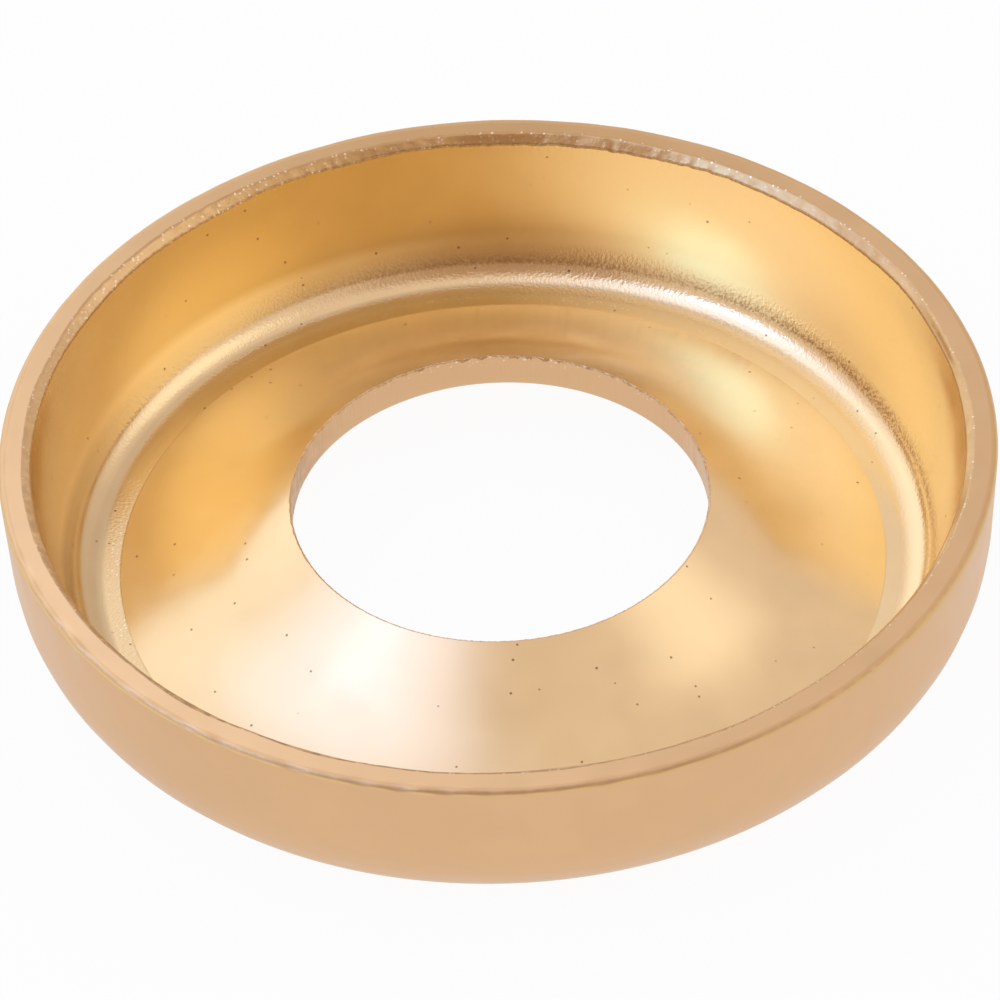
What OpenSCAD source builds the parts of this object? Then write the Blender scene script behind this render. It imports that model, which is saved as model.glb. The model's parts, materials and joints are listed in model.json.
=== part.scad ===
// Finishing cup washer: one piece of brass sheet, pressed into a shallow cup.
// The wall leans out a little. Inside, it sweeps down to a small corner and a narrow level
// land; outside, a rounder bend carries it to the foot, so the sheet is thinnest at the corner.
// From a crease at the land's edge the floor curves up into a cone with a pierced hole.
// Both cut edges show how they were sheared: rolled over on the outside of the sheet,
// broken away on the inside.
// The axis is +Z, the open side is up and the foot ring lies on z = 0.

/* [Cup] */
// Outside diameter at the rim
cup_d = 25; // [20:0.5:32]
// Height from the foot ring to the rim
cup_h = 4.8; // [4:0.05:7]
// Thickness of the brass sheet
sheet_t = 0.8; // [0.5:0.05:1]
// Lean of the wall from upright, in degrees
wall_lean = 3.5; // [1:0.5:6]
// Outside radius of the bend between wall and foot
bend_r = 2.7; // [2.2:0.05:3]
// Width of the flat ring that the washer stands on
foot_w = 0.08; // [0.06:0.01:0.3]

/* [Inside of the wall] */
// Share of the wall's inside height, from the land up, that is curved
sweep_share = 0.8; // [0.6:0.01:0.85]
// Slope, in degrees, at which the long sweep runs into the corner
sweep_end = 63; // [58:1:68]
// Inside radius of the corner between the sweep and the land
corner_r = 0.8; // [0.4:0.05:1]

/* [Floor] */
// Diameter of the pierced hole
hole_d = 10.5; // [6:0.1:13]
// Height that the floor climbs from the crease to the hole
floor_rise = 2.17; // [1:0.01:3]
// Slope of the floor at the crease, in degrees
crease_slope = 14; // [6:1:18]
// Share of the floor's run at which its slopes at the crease and at the hole would meet
knee_share = 0.33; // [0.2:0.01:0.4]

/* [Cut edges] */
// Radius of the rolled edge on the outside of the sheet
roll_r = 0.15; // [0.05:0.01:0.25]
// Length of the broken edge on the inside of the rim
break_w = 0.2; // [0.05:0.01:0.3]
// Length of the broken edge on top of the hole
lip_w = 0.05; // [0.03:0.01:0.2]

/* [Hidden] */

// Facets of a full turn in the preview mesh
turn_facets = 180;
brass = [0.86, 0.66, 0.36];
// How far a round stands proud of the faces it joins, so that they cross cleanly
seat = 0.0005;

rim_r = cup_d / 2;
hole_r = hole_d / 2;
roll_in = roll_r - seat;
overlap = sheet_t / 2;

// Wall: up along the sheet, and out through it
wall_up = [sin(wall_lean), cos(wall_lean)];
wall_out = [cos(wall_lean), -sin(wall_lean)];
rim_outside = [rim_r, cup_h];
rim_inside = [rim_r - sheet_t / cos(wall_lean), cup_h];

// Centre of a round at height z that runs into the wall, with its face at depth d in it
function beside_wall(z, d) = [rim_r - (cup_h - z) * tan(wall_lean) - d / cos(wall_lean), z];

// Outside of the bend, standing on the foot plane
bend_c = beside_wall(bend_r, bend_r - seat);

// Inside of the wall: a long sweep off the wall, then a tight corner down to the land
sweep_h = sweep_share * (cup_h - sheet_t) - corner_r * (1 - cos(sweep_end));
sweep_r = sweep_h / (cos(sweep_end) - sin(wall_lean));
sweep_out = [sin(sweep_end), -cos(sweep_end)];
between = sweep_r - corner_r + seat;
sweep_c = beside_wall(sheet_t + corner_r - seat + between * cos(sweep_end), sheet_t + sweep_r - seat);
corner_c = sweep_c + between * sweep_out;
sweep_foot = sweep_c + (sweep_r - seat) * sweep_out;

// Foot: the flat ring from the underside of the floor to the bend's outside
foot_in = bend_c[0] - foot_w;
bend_start = foot_in + foot_w / 4;

// Crease: the line inside the cup where the land ends and the floor climbs
crease = [foot_in + sheet_t * tan(crease_slope / 2), sheet_t];
lip_top = [hole_r, sheet_t + floor_rise];

// Knee: where the floor's slope at the crease would meet the cone that rises to the hole
knee_reach = knee_share * (crease[0] - hole_r) / cos(crease_slope);
knee = crease + knee_reach * [-cos(crease_slope), sin(crease_slope)];
cone_slope = atan((lip_top[1] - knee[1]) / (knee[0] - hole_r));
cone_down = [cos(cone_slope), -sin(cone_slope)];
cone_out = [-sin(cone_slope), -cos(cone_slope)];

// The curve of the floor between those two slopes, and where it leaves the cone
curve_r = knee_reach / tan((cone_slope - crease_slope) / 2);
cone_top = knee - knee_reach * cone_down;
cone_under = cone_top + sheet_t * cone_out;
curve_c = cone_top - (curve_r - seat) * cone_out;

// Hole: the lower end of its upright wall
lip_under = [hole_r, lip_top[1] - sheet_t / cos(cone_slope)];

// Centres of the rolled edges at the rim and under the hole
rim_roll_c = rim_outside - roll_in * [(1 + sin(wall_lean)) / cos(wall_lean), 1];
hole_roll_c = lip_under + roll_in * [1, (1 - sin(cone_slope)) / cos(cone_slope)];

module disc(centre, r) {
    translate(centre) circle(r, $fn = turn_facets);
}

// Outside of wall and bend, filled in as far as the middle of the bend
module wall_outside() {
    polygon([
        bend_c,
        bend_c + (bend_r - seat) * wall_out,
        rim_roll_c + roll_in * wall_out,
        rim_roll_c + [0, roll_in],
        [bend_c[0], cup_h]
    ]);
    disc(rim_roll_c, roll_r);
    intersection() {
        disc(bend_c, bend_r);
        translate([bend_start, -sheet_t]) square([rim_r, bend_r + 2 * sheet_t]);
    }
}

// The hollow above the land, within sweep and corner, with the broken edge at the rim
module wall_inside() {
    break_low = rim_inside - break_w * wall_up;
    break_high = rim_inside + [break_w, 0];
    above = 2 * break_high - break_low;
    polygon([
        [hole_r, sheet_t],
        [corner_c[0], sheet_t],
        sweep_foot,
        sweep_c + (sweep_r - seat) * wall_out,
        break_low,
        above,
        above + [0, sheet_t],
        [hole_r, above[1] + sheet_t]
    ]);
    disc(corner_c, corner_r);
    intersection() {
        disc(sweep_c, sweep_r);
        translate([hole_r, sweep_foot[1]]) square([rim_r, cup_h]);
    }
}

// The cone of the floor, with both edges of the hole
module cone_section() {
    polygon([
        lip_top + lip_w * cone_down,
        lip_top - [0, lip_w],
        hole_roll_c - [roll_in, 0],
        hole_roll_c + roll_in * cone_out,
        cone_under,
        cone_top + overlap * cone_down
    ]);
    disc(hole_roll_c, roll_r);
}

// The curved part of the floor, from the cone to the crease and the foot ring
module curve_section() {
    window_low = cone_under - overlap * cone_down;
    difference() {
        intersection() {
            disc(curve_c, curve_r + sheet_t);
            polygon([
                2 * cone_top - window_low,
                window_low,
                [window_low[0], seat],
                [bend_c[0], seat],
                crease + [overlap, -overlap / 2],
                crease + [overlap, sheet_t]
            ]);
        }
        disc(curve_c, curve_r);
    }
}

// The whole section, to the right of the axis
module section() {
    difference() {
        wall_outside();
        wall_inside();
    }
    cone_section();
    curve_section();
}

module cup_washer() {
    color(brass) rotate_extrude($fn = turn_facets) section();
}

cup_washer();
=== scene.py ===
import json
import math

import bpy
import numpy as np
from mathutils import Matrix, Vector


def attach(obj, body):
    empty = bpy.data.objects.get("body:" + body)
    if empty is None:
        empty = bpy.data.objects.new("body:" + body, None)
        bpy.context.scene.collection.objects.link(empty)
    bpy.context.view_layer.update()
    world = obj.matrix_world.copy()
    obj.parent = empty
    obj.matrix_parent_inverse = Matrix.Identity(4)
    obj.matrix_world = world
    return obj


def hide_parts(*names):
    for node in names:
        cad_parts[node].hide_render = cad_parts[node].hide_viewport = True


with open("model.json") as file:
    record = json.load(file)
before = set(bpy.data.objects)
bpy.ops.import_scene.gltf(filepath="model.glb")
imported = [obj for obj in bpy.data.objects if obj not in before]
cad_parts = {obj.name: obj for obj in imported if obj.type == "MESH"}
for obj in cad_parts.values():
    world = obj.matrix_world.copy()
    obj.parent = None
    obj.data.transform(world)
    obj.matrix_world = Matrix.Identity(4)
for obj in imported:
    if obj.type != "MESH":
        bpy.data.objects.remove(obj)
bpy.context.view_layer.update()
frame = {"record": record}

MM = 0.001

# Driving sizes of the washer, in millimetres, degrees and shares
cup_d = 25.0
cup_h = 4.8
sheet_t = 0.8
wall_lean = 3.5
bend_r = 2.7
foot_w = 0.08
sweep_share = 0.8
sweep_end = 63.0
corner_r = 0.8
floor_rise = 2.17
crease_slope = 14.0
knee_share = 0.33
roll_r = 0.15
break_w = 0.2
lip_w = 0.05
hole_r = next(m["dims"]["r_mm"] for m in frame["record"]["mounts"] if m["name"] == "hole")

# Small rounds on the crease and the broken edges, and how close a row of points follows them
crease_r = 0.12
edge_r = 0.09
lip_r = lip_w / 3
snug = 0.02

# Unevenness left by the press, in millimetres
rim_wave = 0.004
ragged_line = 0.01
foot_wave = 0.016
top_wave = 0.014
narrowing = 0.1
break_rough = 0.002
roll_rough = 0.001
lip_ragged = 0.01
chip_size = 0.028
lip_burr = 0.11
bore_burr = 0.07
bore_rough = 0.003
inside_wave = 0.004

# Steps round the washer
turns = 960

# Bands of pits and of painted shade, in millimetres
pit_band = 0.12  # on both sides of the corner's upper end
land_shade_band = 0.06  # above the land
wall_shade_band = 1.2  # up from the corner, fading
hole_shade_band = 0.9  # out from the hole

# Colours of the brass: bright inside, satin skin, warm and deeper where shade is painted, cut in
# a dark and a light tone, torn, pitted, painted brown shade and dust, and painted glints
inside_brass = (0.92, 0.71, 0.365)
skin_brass = (0.75, 0.472, 0.255)
warm_shade_brass = (0.74, 0.51, 0.19)
dark_cut = (0.6, 0.385, 0.165)
light_cut = (0.95, 0.69, 0.37)
torn_brass = (0.7, 0.45, 0.165)
pit_brown = (0.4, 0.25, 0.11)
dust_and_shade_brown = (0.26, 0.15, 0.07)
glint_colour = (1.0, 0.9, 0.66)

# Roughness of the bright inside, and what the other surfaces add to it
smooth_low = 0.17
smooth_high = 0.23
skin_rough = 0.18
cut_rough = 0.14
# Added roughness under the painted brown shade
shade_rough = 0.2

# Heights of the fine relief, in metres
grain_relief = 1e-5
torn_relief = 2e-6
skin_relief = 4e-7
plain_relief = 2e-7
streak_relief = 5e-6

# Floor: its side in metres, its own paint, and the share of plain white that the camera sees
floor_side = 4
floor_grey = 0.88
floor_white = 0.95

# Camera, at the photograph's angle
view_elevation = 42.36  # in degrees
view_roll_deg = -2.6
view_distance = 9  # in cup diameters
lens_mm = 324.2
sensor_mm = 36
aim_drop = 0.1168  # below the rim's centre, as a share of the rim's radius

# Light of the room, and what the part above the horizon adds to it
room = (1.04, 1.02, 0.97)
overhead = (-0.24, -0.33, -0.23)

# Soft round lights: colour, azimuth from the far side, elevation, half width, softness in degrees
room_behind = ((-0.34, -0.38, -0.48), 182, 34, 24, 17)
left_window = ((0.4, 0.61, 1.42), -95, 57, 19, 15)
left_core = ((0.15, 0.75, 2.2), -108, 47, 8, 7)
far_glow = ((0.36, 0.46, 0.64), -32, 26, 22, 20)
right_window = ((0.46, 0.5, 0.56), 91, 36, 15.5, 13)


def pair(r, z):
    return np.array([r, z], dtype=float)


# Worked-out points of the section, as (radius, height)
lean = math.radians(wall_lean)
steep = math.radians(sweep_end)
gentle = math.radians(crease_slope)
rim_r = cup_d / 2
wall_up = pair(math.sin(lean), math.cos(lean))
wall_out = pair(math.cos(lean), -math.sin(lean))


def beside_wall(z, depth):
    # Centre of a round at height z that runs into the wall, with its face at a depth in it
    return pair(rim_r - (cup_h - z) * math.tan(lean) - depth / math.cos(lean), z)


bend_c = beside_wall(bend_r, bend_r)
sweep_h = sweep_share * (cup_h - sheet_t) - corner_r * (1 - math.cos(steep))
sweep_r = sweep_h / (math.cos(steep) - math.sin(lean))
between = sweep_r - corner_r
sweep_c = beside_wall(sheet_t + corner_r + between * math.cos(steep), sheet_t + sweep_r)
corner_c = sweep_c + between * pair(math.sin(steep), -math.cos(steep))
wall_foot = sweep_c + sweep_r * wall_out

rim_inside = pair(rim_r - sheet_t / math.cos(lean), cup_h)
break_low = rim_inside - break_w * wall_up
break_high = rim_inside + pair(break_w, 0)
rim_roll_c = pair(rim_r, cup_h) - roll_r * pair((1 + math.sin(lean)) / math.cos(lean), 1)
rim_flat_end = rim_roll_c + pair(0, roll_r)

foot_in = bend_c[0] - foot_w
crease = pair(foot_in + sheet_t * math.tan(gentle / 2), sheet_t)
land_end = pair(corner_c[0], sheet_t)
lip_top = pair(hole_r, sheet_t + floor_rise)
knee_reach = knee_share * (crease[0] - hole_r) / math.cos(gentle)
knee = crease + knee_reach * pair(-math.cos(gentle), math.sin(gentle))
cone = math.atan((lip_top[1] - knee[1]) / (knee[0] - hole_r))
cone_deg = math.degrees(cone)
cone_down = pair(math.cos(cone), -math.sin(cone))
cone_out = pair(-math.sin(cone), -math.cos(cone))
curve_r = knee_reach / math.tan((cone - gentle) / 2)
cone_top = knee - knee_reach * cone_down
curve_c = cone_top - curve_r * cone_out
lip_broken = lip_top + lip_w * cone_down
lip_under = pair(hole_r, lip_top[1] - sheet_t / math.cos(cone))
hole_roll_c = lip_under + roll_r * pair(1, (1 - math.sin(cone)) / math.cos(cone))
bore_low = hole_roll_c - pair(roll_r, 0)
bore_high = lip_top - pair(0, lip_w)

# The section as rows of (radius, height), with each row's stretch of the sheet and its edge
section, stretch, follows = [], [], []


def add(points, name):
    section.extend(points)
    stretch.extend([name] * len(points))
    follows.extend([name] * len(points))


def add_round(points, name, before, after):
    # The rows close to a round belong to its neighbours but move with it
    section.extend(points)
    stretch.extend([before] + [name] * (len(points) - 2) + [after])
    follows.extend([name] * len(points))


def line(start, end, count, name):
    steps = np.linspace(0, 1, count, endpoint=False)[:, None]
    add(list(start + (end - start) * steps), name)


def arc(centre, radius, start, end, count, name):
    # Angles in degrees from the outward direction, counted upward
    steps = np.radians(np.linspace(start, end, count, endpoint=False))
    add([centre + radius * pair(math.cos(step), math.sin(step)) for step in steps], name)


def soft_corner(before, corner, after, radius, count):
    # A small round between two straight stretches, with a row close to it on each of them
    back = (before - corner) / np.linalg.norm(before - corner)
    ahead = (after - corner) / np.linalg.norm(after - corner)
    half = math.acos(float(np.clip(back @ ahead, -1, 1))) / 2
    reach = radius / math.tan(half)
    centre = corner + (back + ahead) / np.linalg.norm(back + ahead) * radius / math.sin(half)
    start = corner + back * reach
    end = corner + ahead * reach
    first = math.atan2(*(start - centre)[::-1])
    last = math.atan2(*(end - centre)[::-1])
    turn = (last - first + math.pi) % (2 * math.pi) - math.pi
    close = min(snug, reach / 2)
    bent = [centre + radius * pair(math.cos(first + turn * t), math.sin(first + turn * t))
            for t in np.linspace(0, 1, count)]
    return [start + back * close] + bent + [end + ahead * close]


up_the_floor = crease + pair(-1, math.tan(gentle))
crease_round = soft_corner(up_the_floor, crease, land_end, crease_r, count=3)
low_round = soft_corner(wall_foot, break_low, break_high, edge_r, count=3)
high_round = soft_corner(break_low, break_high, rim_flat_end, edge_r, count=3)
lip_round = soft_corner(bore_high, lip_broken, cone_top, lip_r, count=2)
bore_round = soft_corner(bore_low, bore_high, lip_broken, lip_r, count=2)

add_round(crease_round, "crease", "cone", "land")
line(crease_round[-1], land_end, 4, "land")
arc(corner_c, corner_r, -90, sweep_end - 90, 10, "corner")
arc(sweep_c, sweep_r, sweep_end - 90, -wall_lean, 10, "sweep")
line(wall_foot, low_round[0], 3, "wall")
add_round(low_round, "break_foot", "wall", "rim_break")
line(low_round[-1], high_round[0], 3, "rim_break")
add_round(high_round, "break_top", "rim_break", "rim_face")
line(high_round[-1], rim_flat_end, 5, "rim_face")
arc(rim_roll_c, roll_r, 90, -wall_lean, 6, "rim_roll")
line(rim_roll_c + roll_r * wall_out, bend_c + bend_r * wall_out, 3, "outside")
arc(bend_c, bend_r, -wall_lean, -90, 9, "outside")
line(pair(bend_c[0], 0), pair(foot_in, 0), 1, "foot")
arc(curve_c, curve_r + sheet_t, -90 - crease_slope, -90 - cone_deg, 5, "underside")
line(cone_top + sheet_t * cone_out, hole_roll_c + roll_r * cone_out, 2, "underside")
arc(hole_roll_c, roll_r, -90 - cone_deg, -180, 3, "hole_roll")
line(bore_low, bore_round[0], 3, "bore")
add_round(bore_round, "bore_edge", "bore", "lip")
add_round(lip_round, "lip_edge", "lip", "cone")
line(lip_round[-1], cone_top, 4, "cone")
arc(curve_c, curve_r, -90 - cone_deg, -90 - crease_slope, 9, "cone")

# A row that starts where the one before it ends is left out
keep = [k for k in range(len(section)) if np.linalg.norm(section[k] - section[k - 1]) > 1e-6]
section = np.array(section)[keep]
stretch = np.array(stretch)[keep]
follows = np.array(follows)[keep]
rows = len(section)
angle = np.linspace(0, 2 * math.pi, turns, endpoint=False)

# Degrees round the washer from its far side, positive to the right
place = (90 - np.degrees(angle) + 180) % 360 - 180


def wander(seed, low, high):
    # Random variation round the washer, from its whole waves low to high, with a spread of one
    draw = np.random.RandomState(seed)
    waves = np.arange(low, high + 1)
    swing = draw.uniform(0.5, 1.5, len(waves))
    start = draw.uniform(0, 2 * math.pi, len(waves))
    value = (swing * np.cos(waves * angle[:, None] + start)).sum(axis=1)
    return value / value.std()


def toward(centre, half):
    # One at a place round the washer, falling off on both sides of it
    away = (place - centre + 180) % 360 - 180
    return np.exp(-(away / half) ** 2)


# The washer's far side, as the camera sees it
far_side = toward(0, 60)


def rows_of(*names):
    return np.flatnonzero(np.isin(follows, names))


# Unevenness of the sheared edges, as a move of each point in (radius, height)
move = np.zeros((turns, rows, 2))


def shift(names, amount, direction):
    for k in rows_of(*names):
        move[:, k] += amount[:, None] * direction


broken = ("break_foot", "rim_break", "break_top")
shift((*broken, "rim_face", "rim_roll"), rim_wave * wander(1, 3, 30), pair(0, 1))
ragged = 0.2 + 0.8 * far_side
narrow = narrowing * toward(180, 75)
foot_line = ragged_line * wander(2, 40, 320) * ragged + foot_wave * wander(3, 4, 24) + narrow
top_line = ragged_line * wander(4, 30, 200) * ragged + top_wave * wander(5, 4, 24) - narrow
shift(("break_foot",), foot_line, wall_up)
shift(("break_top",), top_line, pair(1, 0))

# The torn face between those two lines goes with both of them and is rough itself
across = break_high - break_low
across = across / np.linalg.norm(across)
off_break = pair(-across[1], across[0])
torn_rows = rows_of("rim_break")
for n, k in enumerate(torn_rows):
    share = (n + 1) / (len(torn_rows) + 1)
    move[:, k] += (1 - share) * foot_line[:, None] * wall_up
    move[:, k] += share * top_line[:, None] * pair(1, 0)
    move[:, k] += (break_rough * ragged * wander(20 + n, 60, 400))[:, None] * off_break

# The rolled edge is lumpy at the near left and the near side
lumps = wander(6, 30, 85) * (0.0015 + 0.02 * toward(-138, 30) + 0.01 * toward(178, 35))
roll_rows = rows_of("rim_roll")
for n, k in enumerate(roll_rows):
    share = math.sin(math.pi * (n + 0.5) / len(roll_rows))
    bulge = share * (lumps + roll_rough * wander(30 + n, 60, 400))
    move[:, k] += bulge[:, None] * (section[k] - rim_roll_c) / roll_r

# The hole's lip is ragged and chipped, most of all at the far side, with one burr
rough_lip = 0.3 + 1.8 * far_side + 1.8 * toward(78, 14)
chips = chip_size * wander(11, 14, 90) * toward(0, 75)
burr = toward(-5, 1.1)
lip_line = lip_ragged * wander(7, 50, 400) * rough_lip + chips + lip_burr * burr
bore_line = lip_ragged * wander(8, 50, 400) * rough_lip - chips + bore_burr * burr
shift(("lip_edge",), lip_line, -cone_down)
shift(("bore_edge",), bore_line, pair(0, 1))
shift(("bore", "bore_edge"), bore_rough * wander(9, 70, 400), pair(1, 0))
inside_rows = ("crease", "land", "corner", "sweep", "wall")
shift(inside_rows, inside_wave * wander(10, 2, 9), pair(1, 0))

# The washer as one closed lathe mesh
spot = section + move
grid = np.stack([spot[..., 0] * np.cos(angle)[:, None],
                 spot[..., 0] * np.sin(angle)[:, None],
                 spot[..., 1]], axis=2)
here = np.arange(turns)[:, None] * rows
beside = (np.arange(turns)[:, None] + 1) % turns * rows
row = np.arange(rows)[None, :]
next_row = (row + 1) % rows
quads = np.stack([here + row, beside + row, beside + next_row, here + next_row], axis=2)

mesh = bpy.data.meshes.new("pressed_cup")
mesh.from_pydata((grid.reshape(-1, 3) * MM).tolist(), [], quads.reshape(-1, 4).tolist())
mesh.update()
mesh.polygons.foreach_set("use_smooth", [True] * len(mesh.polygons))
washer = bpy.data.objects.new("pressed_cup", mesh)
bpy.context.collection.objects.link(washer)


def mark(name, values):
    # A value on each point of the mesh, for the shader to read
    field = mesh.attributes.new(name, "FLOAT", "POINT")
    everywhere = np.broadcast_to(values, (turns, rows))
    field.data.foreach_set("value", everywhere.astype(np.float32).ravel())


def part(*names):
    return np.isin(stretch, names)


def spread(named, amount):
    # An amount that varies round the washer, on the named rows
    return np.outer(amount, named)


# Rows that the marks name: the cut edges, and parts of the bend by their height
rim_cut = (*broken, "rim_face")
lip_cut = ("bore_edge", "lip", "lip_edge")
level = section[:, 1]
bend = part("corner", "sweep")
strip = bend & (level < sheet_t + corner_r)
corner_top = sheet_t + corner_r * (1 - math.cos(steep))
from_corner = np.abs(level - corner_top)
above_corner = bend & (level > corner_top - 0.01)
high_bend = bend & (level > sheet_t + 1.5 * corner_r)
inner_land = part("land") & (section[:, 0] < (crease[0] + land_end[0]) / 2 + 0.1)
by_hole = part("cone") & (section[:, 0] < hole_r + hole_shade_band)
lip_near = np.zeros(rows)
for k in np.flatnonzero(part("lip", "lip_edge", "bore_edge")):
    lip_near[[k - 1, k, (k + 1) % rows]] = 1

# Where the skin is the outside one or cut, how light the cut is, and where it is torn; on the rim
# and its roll the lighter cut at the near left is painted light and the darker cut at the far
# side is painted shade
mark("skin", part("rim_roll", "outside", "foot", "underside", "hole_roll", "bore"))
mark("cut", part(*rim_cut, *lip_cut) + 0.5 * part("rim_roll"))
mark("cut_tone_and_light", spread(part("rim_roll", *rim_cut),
                     0.36 + 0.58 * toward(-125, 58) - 0.34 * toward(0, 36))
     + 0.5 * part(*lip_cut))
mark("torn", spread(part(*broken), 0.15 + 0.85 * toward(0, 70)))

# Streaks under the rim, and the grain and pits of the drawn corner
under_rim = np.clip((level - break_low[1]) / (2.5 * break_w) + 1, 0, 1)
mark("streak", part("wall", "sweep") * under_rim ** 2)
mark("grain", spread(part("crease", "land"), 0.1 + 0.7 * toward(-92, 24))
     + spread(strip, 0.15 + 0.8 * toward(50, 42) + 0.6 * toward(2, 24) + 0.45 * toward(-42, 28))
     + spread(part(*broken), 0.6 * toward(-45, 42) + 0.25 * toward(35, 50)))
mark("pits", spread(bend * np.clip(1 - from_corner / pit_band, 0, 1),
                    0.95 * toward(58, 38) + 0.5 * toward(-3, 32))
     + spread(part("break_foot"), 0.7 * toward(0, 85))
     + spread(part(*lip_cut), 0.6 * toward(0, 75)))

# Painted glints, and painted brown shade along the edges, in the crease and on the rolled edge
mark("painted_glints", spread(part("break_top"), 0.55 + 0.45 * toward(0, 80))
     + spread(part("rim_break", "break_foot"), 0.3 * toward(0, 85) + 0.5 * toward(-45, 42))
     + spread(lip_near, 0.8 * toward(5, 55))
     + spread(inner_land, toward(-92, 22))
     + spread(part("land"), 0.4 * toward(0, 40))
     + spread(bend * (from_corner < pit_band), 0.5 * toward(5, 28)))
# Painted brown shade in the crease, on the bore and the hole's lip, along the rim's inner edges
# at the near left, and on the rolled edge at the near side
brown_shade = (spread(part("crease"), 0.05 + 0.2 * toward(-97, 34))
        + spread(part("bore"), 0.35 * toward(-85, 28))
        + spread(part("lip_edge"), 0.05 + 0.6 * toward(-108, 24) + 0.25 * toward(75, 16))
        + spread(part("break_top"), 0.14 + 0.56 * toward(-155, 62))
        + spread(part("rim_break", "break_foot"), 0.6 * toward(-135, 55)))
brown_shade[:, roll_rows[2:4]] = (0.05 + 0.25 * toward(180, 75))[:, None]
mark("brown_shade", brown_shade)

# Painted shade that darkens the land, the low bend, the wall above the corner and the cone by the
# hole at the far side, and the strip at the left; negative values are a painted highlight that
# brightens the wall and bend at the right and the cone. Then a warmer, darker brass
mark("painted_shading", spread(part("land"), 0.2 * far_side)
     + spread(bend & (level < sheet_t + land_shade_band), 0.22 * far_side)
     - spread(part("wall") | bend, 0.06 * toward(75, 50))
     - spread(part("cone"), 0.05 * toward(-80, 40) + 0.03 * toward(50, 40) + 0.05 * toward(0, 45))
     + spread(strip, 0.24 * toward(-97, 34))
     + spread(above_corner * np.clip(1 - (level - corner_top) / wall_shade_band, 0, 1),
              0.26 * toward(0, 45))
     + spread(by_hole, 0.06 * far_side))
# Warmer brass: the rolled edge's own tone, and painted shade on the wall and upper bend at the
# far left
mark("warm_and_shade", 0.6 * part("rim_roll") + spread(part("wall") | high_bend, toward(-25, 42)))


# Small builders of shader nodes
def feed(socket, value):
    if isinstance(value, bpy.types.NodeSocket):
        socket.id_data.links.new(value, socket)
    else:
        socket.default_value = value


def calc(tree, operation, a, b=0.0):
    node = tree.nodes.new("ShaderNodeMath")
    node.operation = operation
    feed(node.inputs[0], a)
    feed(node.inputs[1], b)
    return node.outputs[0]


def ramp(tree, value, start, end, low=0.0, high=1.0):
    node = tree.nodes.new("ShaderNodeMapRange")
    node.interpolation_type = "SMOOTHSTEP"
    feed(node.inputs["Value"], value)
    limits = {"From Min": start, "From Max": end, "To Min": low, "To Max": high}
    for name, limit in limits.items():
        node.inputs[name].default_value = limit
    return node.outputs["Result"]


def dot(tree, vector, fixed):
    node = tree.nodes.new("ShaderNodeVectorMath")
    node.operation = "DOT_PRODUCT"
    feed(node.inputs[0], vector)
    node.inputs[1].default_value = fixed
    return node.outputs["Value"]


def tint(tree, colour, amount):
    node = tree.nodes.new("ShaderNodeVectorMath")
    node.operation = "SCALE"
    feed(node.inputs[0], colour)
    feed(node.inputs["Scale"], amount)
    return node.outputs["Vector"]


def plus(tree, a, b):
    node = tree.nodes.new("ShaderNodeVectorMath")
    node.operation = "ADD"
    feed(node.inputs[0], a)
    feed(node.inputs[1], b)
    return node.outputs["Vector"]


# Brass: bright inside, satin and redder outside, torn and darker where the shear broke through
brass = bpy.data.materials.new("brass")
brass.use_nodes = True
tree = brass.node_tree
shader = tree.nodes["Principled BSDF"]
point = tree.nodes.new("ShaderNodeTexCoord").outputs["Object"]


def marked(name):
    node = tree.nodes.new("ShaderNodeAttribute")
    node.attribute_name = name
    return node.outputs["Fac"]


def noise(size, detail, where=None):
    # Random pattern with features of about the given size, in millimetres
    node = tree.nodes.new("ShaderNodeTexNoise")
    feed(node.inputs["Vector"], where or point)
    node.inputs["Scale"].default_value = 1 / (size * MM)
    node.inputs["Detail"].default_value = detail
    return node.outputs["Fac"]


def times(a, b):
    return calc(tree, "MULTIPLY", a, b)


def total(first, *others):
    for other in others:
        first = calc(tree, "ADD", first, other)
    return first


def specks(cell, radius, share):
    # Round spots in a share of the cells, sizes in millimetres
    node = tree.nodes.new("ShaderNodeTexVoronoi")
    feed(node.inputs["Vector"], point)
    node.inputs["Scale"].default_value = 1 / (cell * MM)
    parts = tree.nodes.new("ShaderNodeSeparateColor")
    feed(parts.inputs["Color"], node.outputs["Color"])
    chosen = calc(tree, "LESS_THAN", parts.outputs["Red"], share)
    outer, inner_edge = 1.4 * radius / cell, 0.6 * radius / cell
    return times(chosen, ramp(tree, node.outputs["Distance"], outer, inner_edge))


def blend(a, b, amount):
    node = tree.nodes.new("ShaderNodeMix")
    node.data_type = "RGBA"
    feed(node.inputs["Factor"], amount)
    for socket, colour in ((node.inputs[6], a), (node.inputs[7], b)):
        feed(socket, colour if isinstance(colour, bpy.types.NodeSocket) else (*colour, 1))
    return node.outputs[2]


skin, cut, cut_tone_and_light, torn = (marked(n) for n in ("skin", "cut", "cut_tone_and_light", "torn"))
inner = calc(tree, "SUBTRACT", 1.0, calc(tree, "MAXIMUM", skin, cut))
upright = tree.nodes.new("ShaderNodeVectorMath")
upright.operation = "MULTIPLY"
feed(upright.inputs[0], point)
upright.inputs[1].default_value = (1.0, 1.0, 0.2)
broad = noise(size=1.3, detail=1)
satin = noise(size=0.3, detail=2)
fine = noise(size=0.08, detail=1)
# Painted glints: bright specks laid into the colour
painted_glint = times(marked("painted_glints"), specks(cell=0.11, radius=0.03, share=0.45))
pitted = times(marked("pits"), ramp(tree, fine, 0.4, 0.6, low=0.3))
# Painted brown shade, broken up by a noise
painted_brown_shade = times(marked("brown_shade"), ramp(tree, satin, 0.3, 0.62, low=0.45))
dust = times(inner, specks(cell=0.5, radius=0.034, share=0.55))

colour = blend(inside_brass, skin_brass, skin)
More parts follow.
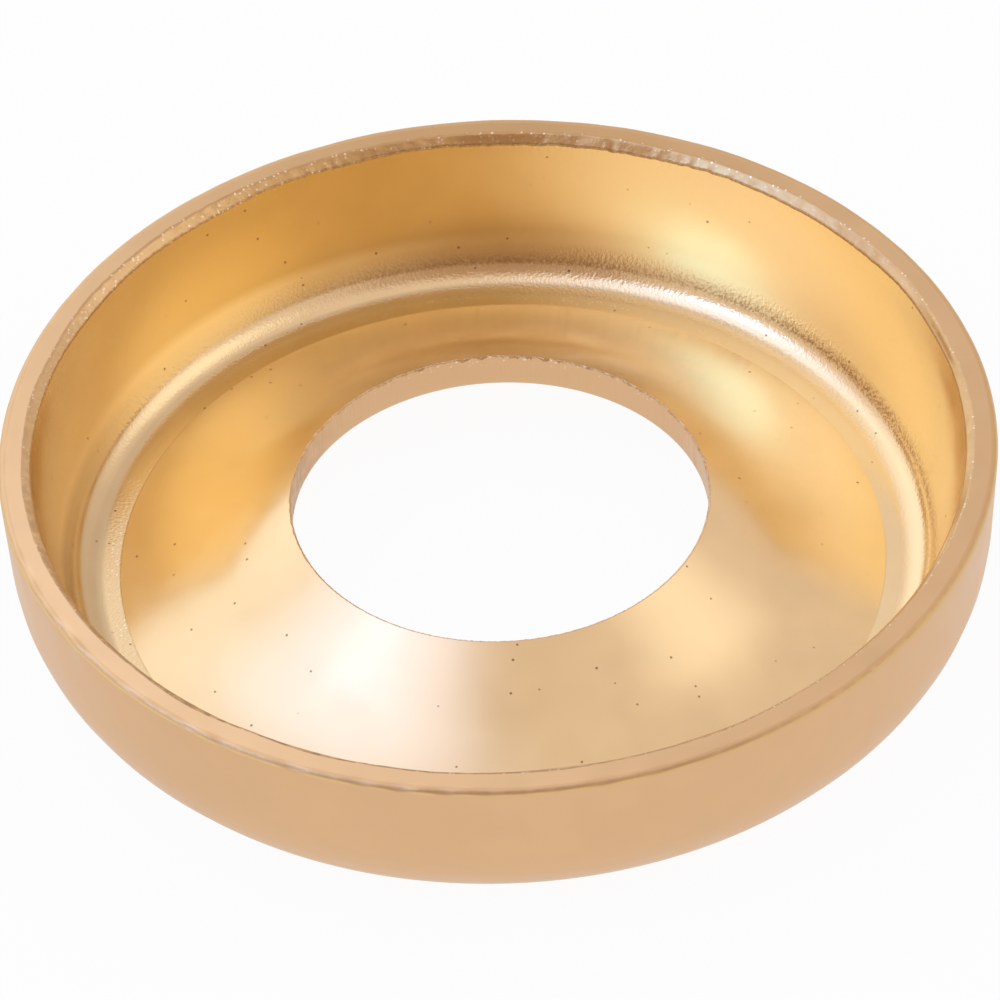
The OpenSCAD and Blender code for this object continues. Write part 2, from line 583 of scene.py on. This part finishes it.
# Warmer brass: the rolled edge's own tone, and painted shade on the wall and upper bend at the
# far left
colour = blend(colour, warm_shade_brass, marked("warm_and_shade"))
# The cut between a dark and a light tone; on the rim the lighter cut is painted light and the
# darker cut painted shade
colour = blend(colour, blend(dark_cut, light_cut, cut_tone_and_light), cut)
patchy = ramp(tree, broad, 0.25, 0.75, low=0.97, high=1.02)
# Painted shade darkens the colour where the mark is positive, and a painted highlight brightens
# it where it is negative
colour = tint(tree, colour, calc(tree, "SUBTRACT", patchy, marked("painted_shading")))
frayed = ramp(tree, fine, 0.3, 0.7, low=0.5, high=0.85)
colour = blend(colour, torn_brass, times(torn, frayed))
colour = blend(colour, pit_brown, pitted)
# Painted brown shade, and brown dust specks on the inside
colour = blend(colour, dust_and_shade_brown, calc(tree, "MAXIMUM", painted_brown_shade, times(dust, 0.85)))
# Painted glints
colour = blend(colour, glint_colour, times(painted_glint, 0.9))
feed(shader.inputs["Base Color"], colour)

shader.inputs["Metallic"].default_value = 1
smooth = ramp(tree, broad, 0.3, 0.7, low=smooth_low, high=smooth_high)
dulled = total(smooth, times(skin, skin_rough), times(cut, cut_rough), times(painted_brown_shade, shade_rough))
feed(shader.inputs["Roughness"], dulled)

rough = total(times(marked("grain"), grain_relief), times(torn, torn_relief),
              times(skin, skin_relief), plain_relief)
streaky = times(marked("streak"), noise(size=0.07, detail=1, where=upright.outputs["Vector"]))
bump = tree.nodes.new("ShaderNodeBump")
bump.inputs["Strength"].default_value = 1.0
bump.inputs["Distance"].default_value = 1.0
feed(bump.inputs["Height"], total(times(rough, fine), times(streaky, streak_relief)))
feed(shader.inputs["Normal"], bump.outputs["Normal"])
mesh.materials.append(brass)

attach(washer, "root")
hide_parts("cup_washer")

# Floor: white to the camera and in reflections, with part of its own shading for the shadow
bpy.ops.mesh.primitive_plane_add(size=floor_side)
floor = bpy.context.object
floor.name = "floor"
white = bpy.data.materials.new("floor_white")
white.use_nodes = True
paper = white.node_tree
paint = paper.nodes["Principled BSDF"]
paint.inputs["Base Color"].default_value = (floor_grey, floor_grey, floor_grey, 1)
paint.inputs["Roughness"].default_value = 0.9
paint.inputs["Specular IOR Level"].default_value = 0.0
lit = paper.nodes.new("ShaderNodeEmission")
lit.inputs["Color"].default_value = (1, 1, 1, 1)
lit.inputs["Strength"].default_value = 1.0
path = paper.nodes.new("ShaderNodeLightPath")
seen = calc(paper, "MAXIMUM", path.outputs["Is Camera Ray"], path.outputs["Is Glossy Ray"])
seen = calc(paper, "MAXIMUM", seen, path.outputs["Is Transmission Ray"])
cover = paper.nodes.new("ShaderNodeMixShader")
feed(cover.inputs["Fac"], calc(paper, "MULTIPLY", seen, floor_white))
feed(cover.inputs[1], paint.outputs["BSDF"])
feed(cover.inputs[2], lit.outputs["Emission"])
feed(paper.nodes["Material Output"].inputs["Surface"], cover.outputs["Shader"])
floor.data.materials.append(white)

# Camera at the photograph's angle
view_up = math.radians(view_elevation)
view_roll = math.radians(view_roll_deg)
rim_centre = Vector((0, 0, cup_h * MM))
toward_camera = Vector((0, -math.cos(view_up), math.sin(view_up)))
image_up = Vector((0, math.sin(view_up), math.cos(view_up)))
cam_data = bpy.data.cameras.new("camera")
cam_data.sensor_width = sensor_mm
cam_data.lens = lens_mm
camera = bpy.data.objects.new("camera", cam_data)
bpy.context.collection.objects.link(camera)
camera.location = rim_centre + toward_camera * (view_distance * cup_d * MM)
aim = rim_centre - image_up * (aim_drop * rim_r * MM)
look = (aim - camera.location).to_track_quat("-Z", "Y").to_matrix().to_4x4()
rolled = Matrix.Rotation(view_roll, 4, "Z")
camera.matrix_world = Matrix.Translation(camera.location) @ look @ rolled
bpy.context.scene.camera = camera

# The sky holds the room and its lights
world = bpy.data.worlds.new("studio")
bpy.context.scene.world = world
world.use_nodes = True
sky = world.node_tree
background = sky.nodes["Background"]
direction = sky.nodes.new("ShaderNodeTexCoord").outputs["Generated"]


def window(azimuth, elevation, half, soft):
    # How far a direction lies inside a round, soft-edged light
    az, el = math.radians(azimuth), math.radians(elevation)
    out = (math.sin(az) * math.cos(el), math.cos(az) * math.cos(el), math.sin(el))
    outer, inner_edge = (math.cos(math.radians(half + k * soft)) for k in (1, -1))
    return ramp(sky, dot(sky, direction, out), outer, inner_edge)


upward = ramp(sky, dot(sky, direction, (0, 0, 1)), 0.0, 0.3)
light = plus(sky, room, tint(sky, overhead, upward))
for glow, *where in (room_behind, left_window, left_core, far_glow, right_window):
    light = plus(sky, light, tint(sky, glow, window(*where)))
feed(background.inputs["Color"], light)
background.inputs["Strength"].default_value = 1.0

bpy.context.scene.view_settings.view_transform = "Standard"
